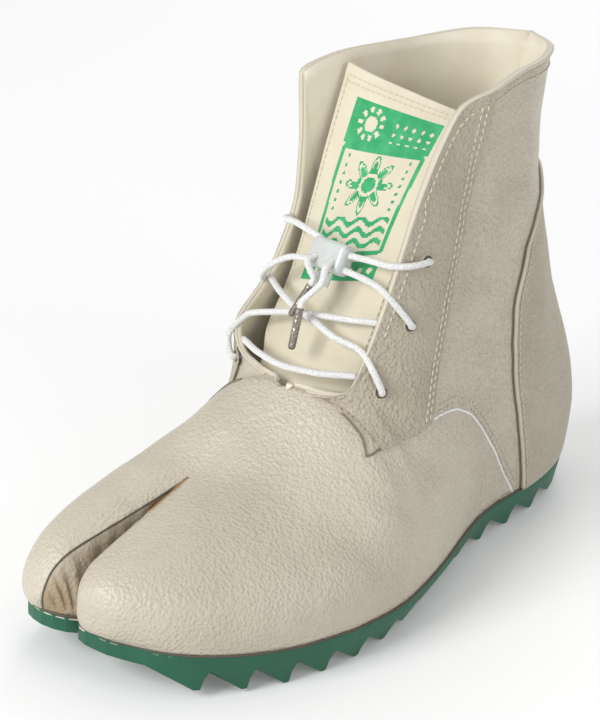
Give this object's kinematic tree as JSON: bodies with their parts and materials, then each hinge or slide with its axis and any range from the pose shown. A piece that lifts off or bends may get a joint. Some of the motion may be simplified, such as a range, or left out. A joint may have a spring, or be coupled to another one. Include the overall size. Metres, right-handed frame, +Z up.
{
  "type": "split-toe work boot",
  "caption": "Left split-toe ankle boot with a hollow leather upper, open throat with tongue and lace, cord lock, and a saw-tooth rubber outsole.",
  "frame": {"origin": "centre of the boot's box, on the floor it stands on", "axes": "+Y from toe to heel, +X towards the outer side of the left foot, +Z up"},
  "size_m": [0.1117, 0.2804, 0.1986],
  "materials": {
    "green_rubber": "matte",
    "footbed": "matte",
    "greige_leather": "pebbled, soft sheen",
    "facing_leather": "pebbled, soft sheen",
    "cream_canvas": "plain weave",
    "white_cord": "braided",
    "gunmetal": "satin",
    "milky_plastic": "translucent"
  },
  "bodies": {
    "root": {"outsole": "green_rubber", "insole": "footbed", "upper": "greige_leather", "eyestay_lateral": "facing_leather", "eyestay_medial": "facing_leather", "heel_counter": "facing_leather", "tongue": "cream_canvas", "lace_low_bar": "white_cord", "lace_cross": "white_cord", "lace_outer_loop": "white_cord", "lace_inner_loop": "white_cord", "lace_end_1": "white_cord", "lace_end_2": "white_cord", "aglet_1": "gunmetal", "aglet_2": "gunmetal", "cord_lock_body": "milky_plastic", "cord_lock_plunger": "milky_plastic"}
  },
  "joints": []
}
